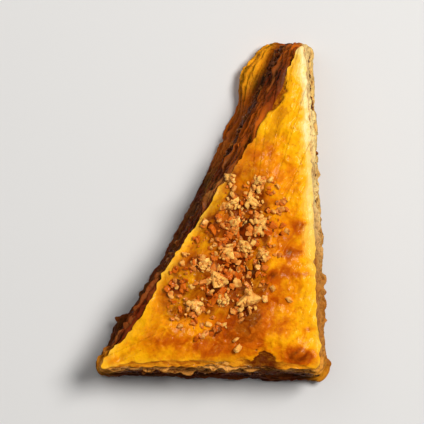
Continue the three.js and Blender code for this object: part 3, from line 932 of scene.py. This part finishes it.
def nut_chunks():
    """All chunks as one mesh: each block is stretched to its length, width and height,
    tipped a little, and set into the top sheet. Returns points, faces and tones."""
    ball, triangles = crumb_ball(4)
    points, faces, shades, skins = [], [], [], []
    for number, nut in enumerate(NUTS):
        height = NUT_HEIGHT * nut["width"]
        block = nut_block(ball, number, NUT_CRAGGY)
        chunk = block * (np.array([nut["length"], nut["width"], height]) / 2)
        tips = NUT_TIP * (chance(number, np.array([6, 7])) - 0.5)
        chunk = turned(chunk, *tips, math.radians(nut["turn"]))
        points.append(chunk + (*nut["at"], crown_at(*nut["at"]) + NUT_LIFT * height))
        faces.append(triangles + number * len(ball))
        large = number < len(LARGE_NUTS)
        shade = between((0.75, 1), chance(number, 8)) if large else 0.7 * chance(number, 8)
        shades.append(np.full(len(ball), shade))
        skins.append(eased(lumps(ball + 7.7 * number, 0.9, 33), 0.62, 0.7))
    tones = {"shade": np.concatenate(shades), "skin": np.concatenate(skins)}
    return np.concatenate(points), [np.concatenate(faces)], tones


def chopped_nut_finish():
    """Broken nut in syrup: cream to tan flesh, brown skin, and amber where syrup gathers."""
    material, tree, shader = new_finish(
        "chopped_nuts", Coat_Weight=0.12, Coat_Roughness=0.12, Specular_IOR_Level=0.4,
        Specular_Tint=(1, 0.66, 0.2, 1),
        Subsurface_Weight=0.2, Subsurface_Radius=SCATTER, Subsurface_Scale=0.001)
    shade = tone_of(tree, "shade")
    clouds = speckle(tree, 2, 4, roughness=0.6)
    grit = speckle(tree, 0.7, 4, roughness=0.6)
    flesh = blended(
        tree, band(tree, shade, 0.1, 0.9), colour(206, 92, 12), colour(255, 197, 100))
    stain = product(
        tree, band(tree, clouds, 0.42, 0.62, 0, 0.75), band(tree, shade, 0.6, 1, 1, 0.45))
    flesh = blended(tree, stain, flesh, colour(220, 110, 16))
    flesh = blended(tree, band(tree, grit, 0.58, 0.72, 0, 0.45), flesh, colour(150, 66, 12))
    skin = product(tree, tone_of(tree, "skin"), band(tree, shade, 0.2, 0.8, 0.9, 0.3))
    flesh = blended(tree, skin, flesh, colour(118, 50, 12))
    tree.links.new(flesh, shader.inputs["Base Color"])
    tree.links.new(band(tree, clouds, 0.3, 0.7, 0.3, 0.55), shader.inputs["Roughness"])
    roughened(tree, shader, [(clouds, 0.3), (grit, 0.18)])
    return material


def strewn_crumbs():
    """Crumbs over the patch, thinner towards its edge: places, sizes and how high over the
    top they lie."""
    crumb = np.arange(CRUMBS)
    places = np.stack(patch_place(chance(crumb, 71) ** 0.7, TAU * chance(crumb, 77)), -1)
    sizes = between(CRUMB_SIZE, chance(crumb, 73) ** 1.7)
    return places, sizes, CRUMB_LIFT * sizes


def broken_off_crumbs():
    """Pale crumbs on and against the large chunks that they broke off. Their height falls
    from a chunk's middle as a parabola. Returns the same three."""
    crumb = np.arange(CRUMBS_OF_CHUNK * len(LARGE_NUTS))
    nuts = [LARGE_NUTS[number] for number in crumb // CRUMBS_OF_CHUNK]
    middles, lengths, widths = (
        np.array([nut[key] for nut in nuts], float) for key in ("at", "length", "width"))
    away = between(CRUMB_AWAY, chance(crumb, 75))
    angle = TAU * chance(crumb, 76)
    steps = (away * lengths)[:, None] * np.stack([np.cos(angle), np.sin(angle)], -1)
    climbs = 0.55 * NUT_HEIGHT * widths * (1 - (away / CRUMB_AWAY[1]) ** 2)
    sizes = between(PALE_CRUMB_SIZE, chance(crumb, 74))
    return middles + steps, sizes, CRUMB_LIFT * sizes + climbs


def lone_crumbs():
    """The pale crumbs that lie apart. Returns the same three."""
    crumb = CRUMBS_OF_CHUNK * len(LARGE_NUTS) + np.arange(len(LONE_CRUMBS))
    sizes = between(PALE_CRUMB_SIZE, chance(crumb, 74)) + LONE_CRUMB_EXTRA
    return np.array(LONE_CRUMBS), sizes, LONE_CRUMB_LIFT * sizes


nut_flesh = chopped_nut_finish()
points, faces, tones = nut_chunks()
add_piece("nut_chunks", points, faces, tones, nut_flesh, "phyllo_top")

kinds = [strewn_crumbs(), broken_off_crumbs(), lone_crumbs()]
places, sizes, lifts = (np.concatenate(parts) for parts in zip(*kinds))
pale = np.arange(len(sizes)) >= CRUMBS
places = raised(places, crown_at(*places.T) + lifts)
on_top = inward_from_rim(places[:, 0], places[:, 1]) > CRUMB_FROM_RIM
points, faces, shades = scattered(places[on_top], sizes[on_top], CRUMBS_SEED)
pale = np.repeat(pale[on_top], len(points) // on_top.sum())
shades = np.where(pale, between((0.65, 1), shades), 0.8 * shades)
add_piece(
    "nut_crumbs", points, [faces], {"shade": shades, "skin": np.zeros(len(points))},
    nut_flesh, "phyllo_top", smooth=False)

# ======================================================================================
# The top sheet: the last phyllo sheet, baked golden, blistered, wrinkled and flaking, under
# a coat of syrup. It is brownest in the middle and round the nuts. Its edge is brittle and
# torn, and curls up in places.
# ======================================================================================

SHEET_THICK = 0.35
SHEET_LOOPS = 150
SHEET_LAST = 0.015  # the innermost loop's size, as a share of the rim's
SHEET_CROWDING = 1.25  # how much closer together the loops lie near the rim
SHEET_TUCK = 12  # the underside is closed under this loop
SHEET_FINER = 5  # points for each point of the solids' outline
CREASES = [(4.2, 0.26, 54), (2.1, 0.2, 55), (1.1, 0.11, 56)]  # size, height and seed
RIM_LUMPS = [(5, 1, 51), (1.3, 1, 52)]
BROKEN_LUMPS = [(4, 1.1, 65), (1.3, 0.7, 66)]
BLISTERS = 110
BLISTERED = {"at": (4, -18), "half": (30, 62)}
BLISTER_RADIUS = (0.7, 2.9)
BLISTER_HEIGHT = (0.12, 0.38)
BLISTER_SUNK = 0.25  # the share of them that sank, to 0.7 of their height
FLAKE_STEPS = [(0.56, 0.58), (0.7, 0.72)]
FLAKE_DEPTH = 0.3
FLAKE_PALENESS = 0.3
RIM_STEPS = (2.4, 1.6, 0.8)  # distances from the right side at which the sheets end
FRONT_LIP = {"width": 1.1, "depth": 0.3, "notch_at": 14.9, "notch_half": 5.3, "notch": 2.1}
TIP_BITE = {"at": 32, "half": 7, "width": 2.9, "depth": 0.9, "slope": 0.35}
SHEET_OVERHANG = 0.55  # how far the sheet stands out over the stack
LONG_SIDE = (0.63, 0.66, 0.96, 1)  # shares of the way round between which it runs
LONG_SET_BACK = 0.5  # how far the sheet lies back along it
# Where the sheet's rim there is broken back further or hangs over, as y and distance.
LONG_RIM = [
    {"at": 21.5, "half": 5.5, "out": -1.5},
    {"at": -14.5, "half": 6, "out": 0.9},
    {"at": -34, "half": 7, "out": -1},
]
# Where the oven browned the sheet most: middle, half widths along x and y, and strength.
BROWNED = [
    {"at": (5, -14), "half": (12, 25), "depth": 0.35},
    {"at": (11, -35.5), "half": (6.5, 4.5), "depth": 1.25},
    {"at": (7, -41), "half": (6, 4), "depth": 0.35},
    {"at": (-2, -43.5), "half": (9, 3), "depth": 0.45},
    {"at": (11, -44), "half": (5, 2), "depth": 0.7},
    {"at": (-14, -25), "half": (4, 6), "depth": 0.4},
    {"at": (22.9, -13), "half": (2, 1.6), "depth": 0.8},
    {"at": (18.3, -19.4), "half": (1.9, 1.4), "depth": 0.9},
    {"at": (26.2, -5.5), "half": (1.6, 2.2), "depth": 1.1},
    {"at": (26.3, -13), "half": (1.6, 1.4), "depth": 0.7},
    {"at": (21, -8), "half": (3, 7), "depth": 0.25},
    {"at": (27, -19.3), "half": (6, 1.1), "depth": 0.6},
    {"at": (26, -43.8), "half": (5.5, 2.8), "depth": 2},
    {"at": (28.8, -35.5), "half": (2.5, 0.9), "depth": 1},
    {"at": (19, -26), "half": (3.5, 3), "depth": 0.3},
    {"at": (7, 15), "half": (8, 8), "depth": 0.45},
    {"at": (10, 26), "half": (3, 6), "depth": 0.3},
    {"at": (-9, -39.5), "half": (9, 5), "depth": 0.45},
    {"at": (25, 36), "half": (5, 14), "depth": -0.5},
]


def nut_nearness(x, y, spread):
    """How close the nuts are, 0 to 1: round bells as wide as each chunk, added and capped."""
    total = sum(spot(x, y, nut["at"], (spread * nut["length"]) ** 2) for nut in NUTS)
    return np.minimum(total, 1)


def browning(x, y):
    """How brown the sheet is baked, -1 to 1.7: bells at the browned places."""
    total = np.zeros_like(x)
    for place in BROWNED:
        (at_x, at_y), (half_x, half_y) = place["at"], place["half"]
        total += place["depth"] * bell(x, at_x, half_x) * bell(y, at_y, half_y)
    return np.clip(total, -1, 1.7)


def blisters(x, y):
    """Low round bubbles in the sheet, and some that have sunk, at drawn places."""
    total = np.zeros_like(x)
    for i in range(BLISTERS):
        share, angle = chance(i, 81), TAU * chance(i, 82)
        centre_x = BLISTERED["at"][0] + BLISTERED["half"][0] * share * math.cos(angle)
        centre_y = BLISTERED["at"][1] + BLISTERED["half"][1] * share * math.sin(angle)
        radius = between(BLISTER_RADIUS, chance(i, 83) ** 2)
        rise = 1 if chance(i, 85) > BLISTER_SUNK else -0.7
        away = ((x - centre_x) ** 2 + (y - centre_y) ** 2) / radius ** 2
        total += rise * between(BLISTER_HEIGHT, chance(i, 84)) * np.exp(-away ** 1.5)
    return total


def sheet_relief(x, y):
    """The fine form of the sheet: creases (ridged noise of three sizes, drawn out along the
    piece), blisters, fine grain, and two shallow steps where flakes came off. Returns the
    relief and how much is flaked off."""
    flat = raised(np.stack([x, y], -1), 0 * x)
    stretched = np.stack([0.88 * x - 0.48 * y, 0.42 * (0.48 * x + 0.88 * y), 0 * x], -1)
    bend = rough(flat, [(6, 1.8, 53)])[..., None]
    creases = sum(
        height * (1 - np.abs(2 * lumps(stretched + bend, size, seed) - 1) * 2)
        for size, height, seed in CREASES)
    grain = rough(flat, [(0.8, 0.08, 57)])
    torn = lumps(stretched * 0.8 + 40, 5.5, 58) + 0.14 * lumps(flat, 1.3, 59)
    flaked = sum(eased(torn, *step) for step in FLAKE_STEPS) / len(FLAKE_STEPS)
    return creases + blisters(x, y) + grain, flaked


def broken_edges(x, y, ragged):
    """Where the uppermost sheet has broken off and the next ones show. Along the front it is
    a strip with a ragged edge, wider at one notch. Beside the tip it is a bite out of the
    long side that falls towards the rim. Returns 0 to 1 for the strip, for its notch and for
    the bite, and how far down the bite lies."""
    low, high = CROWN_CORNERS[0][0], CROWN_CORNERS[1][0]
    from_front = inside_side(x, y, 0)
    notch = bell(x, FRONT_LIP["notch_at"], FRONT_LIP["notch_half"])
    width = (FRONT_LIP["width"] + FRONT_LIP["notch"] * notch) * (1 + ragged)
    width = width * eased(x, low + 2, low + 7) * eased(x, high, high - 9)
    strip = eased(from_front, width, width - 0.3)

    width = TIP_BITE["width"] * bell(y, TIP_BITE["at"], TIP_BITE["half"])
    width = width * (1 + 0.6 * ragged)
    from_long = inside_side(x, y, 3)
    bite = eased(from_long, width, width - 0.7) * eased(width, 0.5, 1.2)
    fall = bite * (TIP_BITE["depth"] + TIP_BITE["slope"] * np.maximum(width - from_long, 0))
    return strip, strip * notch, bite, fall


def torn_rim():
    """The sheet's outline (n, 2), moved in and out by noise, and broken back or hanging over
    along the long side. Returns each point's place round it as well, from 0 to 1."""
    rim = outline(CROWN_CORNERS, CROWN_BOWS, SHEET_FINER)
    around = np.arange(len(rim)) / len(rim)
    torn = SHEET_OVERHANG + rough(raised(rim, 0 * around), RIM_LUMPS)
    wander = -LONG_SET_BACK
    for place in LONG_RIM:
        wander = wander + place["out"] * bell(rim[:, 1], place["at"], place["half"])
    start, started, ending, end = LONG_SIDE
    torn = torn + wander * eased(around, start, started) * eased(around, end, ending)
    outwards = facing_out(np.roll(rim, -1, axis=0) - np.roll(rim, 1, axis=0))
    return rim + outwards * torn[:, None], around


def syrup_depth(x, y, flat):
    """How much syrup the sheet has taken up, 0 to 1: most close to the nuts, in patches, and
    less towards the right side and the front."""
    syrup = nut_nearness(x, y, 0.75) * eased(lumps(flat, 3.4, 60), 0.1, 0.55)
    syrup = np.maximum(syrup, 0.45 * nut_nearness(x, y, 1.3))
    return syrup * (1 - 0.75 * eased(x, 15, 18.5)) * (1 - 0.65 * eased(y, -30, -35))


def top_sheet():
    """The sheet as loops from its torn rim to the middle. The height is the top's form plus
    the fine relief, and lips at the rim. Returns points, faces and tones."""
    edge, around = torn_rim()
    inwards = np.linspace(0, 1, SHEET_LOOPS) ** SHEET_CROWDING * (1 - SHEET_LAST)
    places = MIDDLE + (edge - MIDDLE) * (1 - inwards)[:, None, None]
    x, y = places[..., 0], places[..., 1]
    flat = raised(places, 0 * x)
    inward = inward_from_rim(x, y)
    near_rim = np.exp(-inward / 1.6)

    relief, flaked = sheet_relief(x, y)
    syrup = syrup_depth(x, y, flat)
    relief = relief * (1 - 0.35 * syrup) - FLAKE_DEPTH * flaked
    lip = near_rim * (0.4 * waver(around, 62, 6, 4) + 0.6 * (lumps(flat, 3, 63) - 0.35))
    rim_fall = near_rim * RIM_SAG * waver(around, RIM_SEED, 5, 4)
    from_right, crumbled = right_strip(x, y)
    ragged = rough(flat, BROKEN_LUMPS)
    steps = [eased(from_right + ragged * width, width, width - 0.12) for width in RIM_STEPS]
    cream = crumbled * sum(steps) / len(steps)
    lip = lip * (1 - crumbled * eased(from_right, 5, 2.5))
    z = crown_height(x, y, inward) + relief * (1 - 0.5 * near_rim) + lip + rim_fall
    broken, notched, bite, fall = broken_edges(x, y, ragged)
    z = z - CRUMBLED_DEPTH * cream - FRONT_LIP["depth"] * broken - fall
    browned = browning(x, y)

    # The underside follows the rim, then drops to a level that the stack hides.
    upper = raised(places, z)
    under_edge = upper[0] - (0, 0, SHEET_THICK)
    inner = upper[SHEET_TUCK] - (0, 0, SHEET_THICK + 0.3)
    rows = np.concatenate([[inner, under_edge], upper])
    points, faces = closed_body(
        rows, [*MIDDLE, TOP_SHEETS["high"] - 0.7], [*MIDDLE, z[-1].mean()])
    shown = {
        "syrup": syrup,
        "rim": np.exp(-inward / 5),
        "lip": np.exp(-inward / 0.8) * (1 - np.clip(browned, 0, 1)),
        "cream": cream * between((0.65, 1), eased(y, 14, 28)),
        "broken": broken,
        "notched": notched,
        "bitten": bite,
        "relief": np.clip(0.5 + relief, 0, 1),
        "flaked": FLAKE_PALENESS * flaked,
        "browned": browned,
    }
    under = np.zeros(2 * len(edge))
    tones = {
        tone: np.concatenate([under, values.ravel(), [0, values[-1].mean()]])
        for tone, values in shown.items()
    }
    return points, faces, tones


SHEET_TINTS = {
    "yellow": colour(250, 172, 6),
    "golden": colour(232, 128, 2),
    "orange": colour(180, 66, 1),
    "brown": colour(116, 38, 1),
    # The pale colour below is a painted highlight on ridges and the sheet's own pale specks
    # and flakes; the hollow colour is painted shade.
    "light": colour(252, 180, 8),
    "light_browned": colour(222, 104, 4),
    "hollow_shade": colour(176, 76, 3),
    "freckle": colour(186, 84, 2),
    "caramel": colour(122, 36, 0),
    "torn": colour(252, 196, 64),
    "cream": colour(252, 200, 84),
    "pale": colour(254, 228, 168),
    "next_sheet": colour(222, 140, 22),
    "next_sheet_streak": colour(172, 84, 8),
    "notch": colour(96, 26, 3),
    "soaked": colour(196, 112, 12),
    "soaked_streak": colour(140, 62, 4),
}


def golden_sheet_finish():
    """Glazed phyllo: golden yellow towards the rim, deeper orange where it browned, a painted
    highlight on ridges and painted shade in hollows, brown where syrup stands round the nuts,
    pale at the torn lip."""
    material, tree, shader = new_finish(
        "golden_top_sheet", Coat_Weight=0.07, Coat_Roughness=0.12, Specular_IOR_Level=0.4,
        Specular_Tint=(1, 0.66, 0.05, 1),
        Subsurface_Weight=0.12, Subsurface_Radius=SCATTER, Subsurface_Scale=0.0012)
    tints = SHEET_TINTS
    wide = speckle(tree, 13, 3, warp=0.4)
    medium = speckle(tree, 4.5, 4, roughness=0.6, warp=0.5)
    fine = speckle(tree, 1.3, 4, roughness=0.65)
    pores = speckle(tree, 0.5, 3, roughness=0.6)
    streaks = speckle(tree, 1.4, 4, (0.5, 1.5, 1), roughness=0.65, warp=0.6)
    relief, cream = tone_of(tree, "relief"), tone_of(tree, "cream")

    # How far it is baked, from yellow at the rim to brown in the middle and in patches.
    depth = figure(tree, "ADD", band(tree, wide, 0.36, 0.64, 0, 0.5), tone_of(tree, "browned"))
    depth = figure(tree, "ADD", depth, band(tree, medium, 0.4, 0.64, -0.15, 0.25))
    at_rim = band(tree, tone_of(tree, "rim"), 0, 1, -0.2, 0.45)
    depth = figure(tree, "SUBTRACT", depth, at_rim)
    base = blended(tree, band(tree, depth, -0.2, 0.5), tints["yellow"], tints["golden"])
    base = blended(tree, band(tree, depth, 0.35, 1.1), base, tints["orange"])
    base = blended(tree, band(tree, depth, 1, 1.6, 0, 0.85), base, tints["brown"])

    # Painted shade in the relief's hollows, and freckles; a painted highlight on its ridges,
    # and pale specks and flaked places. The pale colour turns orange where it browned.
    light = blended(tree, band(tree, depth, 0.3, 1.2), tints["light"], tints["light_browned"])
    base = blended(tree, band(tree, relief, 0.42, 0.15, 0, 0.75), base, tints["hollow_shade"])
    base = blended(tree, band(tree, relief, 0.62, 0.9, 0, 0.5), base, light)
    base = blended(tree, band(tree, fine, 0.53, 0.69, 0, 0.5), base, tints["freckle"])
    base = blended(tree, band(tree, fine, 0.42, 0.28, 0, 0.35), base, light)
    base = blended(tree, tone_of(tree, "flaked"), base, light)

    # Syrup round the nuts, the torn lip, and the crumbled edge on the right.
    soaked = band(tree, tone_of(tree, "syrup"), 0.1, 0.85)
    caramel = product(tree, soaked, band(tree, medium, 0.34, 0.6, 0.5, 1))
    base = blended(tree, caramel, base, tints["caramel"])
    lip = product(tree, tone_of(tree, "lip"), band(tree, fine, 0.36, 0.6, 0.2, 0.9))
    base = blended(tree, lip, base, tints["torn"])
    base = blended(tree, band(tree, cream, 0, 0.5, 0, 0.8), base, tints["cream"])
    pale = product(tree, band(tree, cream, 0.4, 1), band(tree, fine, 0.36, 0.56, 0.4, 1))
    base = blended(tree, pale, base, tints["pale"])

    # The next sheet, where the front edge, its notch and the bite beside the tip show it.
    streaked = band(tree, streaks, 0.4, 0.66)
    next_sheet = blended(tree, streaked, tints["next_sheet"], tints["next_sheet_streak"])
    base = blended(tree, tone_of(tree, "broken"), base, next_sheet)
    notched = band(tree, tone_of(tree, "notched"), 0.15, 0.7)
    notched = product(tree, notched, band(tree, streaks, 0.36, 0.56, 0.8, 1))
    base = blended(tree, notched, base, tints["notch"])
    speckled = band(tree, fine, 0.4, 0.62)
    bitten = blended(tree, speckled, tints["soaked"], tints["soaked_streak"])
    base = blended(tree, tone_of(tree, "bitten"), base, bitten)
    tree.links.new(base, shader.inputs["Base Color"])
    tree.links.new(band(tree, fine, 0.3, 0.7, 0.32, 0.58), shader.inputs["Roughness"])
    roughened(tree, shader, [(medium, 0.28), (fine, 0.22), (pores, 0.06)])
    return material


golden_sheet = golden_sheet_finish()
points, faces, tones = top_sheet()
add_piece("top_sheet", points, faces, tones, golden_sheet, "phyllo_top")

# ======================================================================================
# The syrup: thin amber sugar syrup that was poured over the hot tray. It stands in the
# hollows of the top sheet and between the chopped nuts, and has soaked in elsewhere.
# ======================================================================================

SYRUP_RINGS = 110
SYRUP_RAYS = 320
SYRUP_REACH = 1.12  # how far it reaches, as a share of the patch of nuts
SYRUP_FROM_RIM = 1.2
SYRUP_LOW = 0.6  # how far under the top it stands where no nut is near
SYRUP_CLIMB = 0.65
SYRUP_THICK = 0.9


def syrup_pools():
    """A smooth sheet over the nut patch, in rings round its middle. Its level is noise that
    climbs at the nuts and sinks under the top sheet outside the patch, so it shows only in
    hollows. Returns points and faces."""
    share = (np.arange(1, SYRUP_RINGS + 1) / SYRUP_RINGS)[::-1, None]
    angle = (TAU * np.arange(SYRUP_RAYS) / SYRUP_RAYS)[None, :]
    inside = inward_from_rim(*patch_place(SYRUP_REACH * share, angle)) > SYRUP_FROM_RIM
    x, y = patch_place(share * SYRUP_REACH * inside.mean(axis=0), angle)
    places = np.stack([x, y], -1)
    level = SYRUP_CLIMB * nut_nearness(x, y, 0.6) - SYRUP_LOW
    level = level + rough(raised(places, 0 * x), [(4, 0.4, 64)]) - 0.9 * eased(share, 0.8, 1)
    upper = raised(places, crown_at(x, y) + level)
    lower = upper - (0, 0, SYRUP_THICK)
    middle = NUT_PATCH["at"]
    return closed_body(
        np.concatenate([lower[::-1], upper]),
        [*middle, lower[-1, :, 2].mean()], [*middle, upper[-1, :, 2].mean()])


def amber_syrup_finish():
    """Wet sugar syrup over brown pastry: deep amber, darker in patches, and very glossy."""
    material, tree, shader = new_finish(
        "amber_syrup", Roughness=0.14, Specular_IOR_Level=0.4, Specular_Tint=(1, 0.6, 0.15, 1))
    patches = band(tree, speckle(tree, 3, 3), 0.4, 0.64)
    base = blended(tree, patches, colour(120, 40, 0), colour(70, 16, 0))
    tree.links.new(base, shader.inputs["Base Color"])
    roughened(tree, shader, [(speckle(tree, 1.5, 2), 0.1)])
    return material


points, faces = syrup_pools()
add_piece("syrup_pools", points, faces, {}, amber_syrup_finish(), "phyllo_top")

# ======================================================================================
# The set: a plain pale floor, a large soft light high on the right, a weak fill, and a
# camera above the piece, a little towards its front.
# ======================================================================================

# In metres, unlike the sections above.
FLOOR_SIZE = 3.0
CAMERA_HEIGHT = 1.1
CAMERA_BACK = 0.04  # the camera stands this far towards the front of the piece
FRAME_HEIGHT = 0.128  # how much it sees at the floor
SENSOR_WIDTH = 36
KEY_LIGHT = {"place": (0.5, 0.25, 1), "size": 0.4, "power": 12.5, "tint": (1, 0.975, 0.94)}
FILL_LIGHT = {"place": (-0.4, 0.4, 1), "size": 0.8, "power": 2.5, "tint": (1, 0.99, 0.97)}
WORLD_LIGHT = 0.1


def add_floor():
    """A flat square that the piece rests on."""
    half = FLOOR_SIZE / 2
    corners = [(-half, -half, 0), (half, -half, 0), (half, half, 0), (-half, half, 0)]
    mesh = bpy.data.meshes.new("floor")
    mesh.from_pydata(corners, [], [(0, 1, 2, 3)])
    material = new_finish("floor", Roughness=0.6, Base_Color=(0.72, 0.72, 0.72, 1))[0]
    mesh.materials.append(material)
    floor = bpy.data.objects.new("floor", mesh)
    bpy.context.scene.collection.objects.link(floor)


def add_light(name, place, size, power, tint):
    """A square soft light at a place, turned to the middle of the piece."""
    lamp = bpy.data.lights.new(name, "AREA")
    lamp.size = size
    lamp.energy = power
    lamp.color = tint
    light = bpy.data.objects.new(name, lamp)
    light.location = place
    light.rotation_euler = (-Vector(place)).to_track_quat("-Z", "Y").to_euler()
    bpy.context.scene.collection.objects.link(light)


add_floor()
add_light("key", **KEY_LIGHT)
add_light("fill", **FILL_LIGHT)

world = bpy.data.worlds.new("studio")
world.use_nodes = True
sky = world.node_tree.nodes["Background"]
sky.inputs["Color"].default_value = (1, 1, 1, 1)
sky.inputs["Strength"].default_value = WORLD_LIGHT
bpy.context.scene.world = world
bpy.context.scene.view_settings.view_transform = "Standard"

lens = bpy.data.cameras.new("camera")
lens.sensor_width = SENSOR_WIDTH
lens.lens = SENSOR_WIDTH * CAMERA_HEIGHT / FRAME_HEIGHT
camera = bpy.data.objects.new("camera", lens)
camera.location = (0, -CAMERA_BACK, CAMERA_HEIGHT)
camera.rotation_euler = (math.atan2(CAMERA_BACK, CAMERA_HEIGHT), 0, 0)
bpy.context.scene.collection.objects.link(camera)
bpy.context.scene.camera = camera
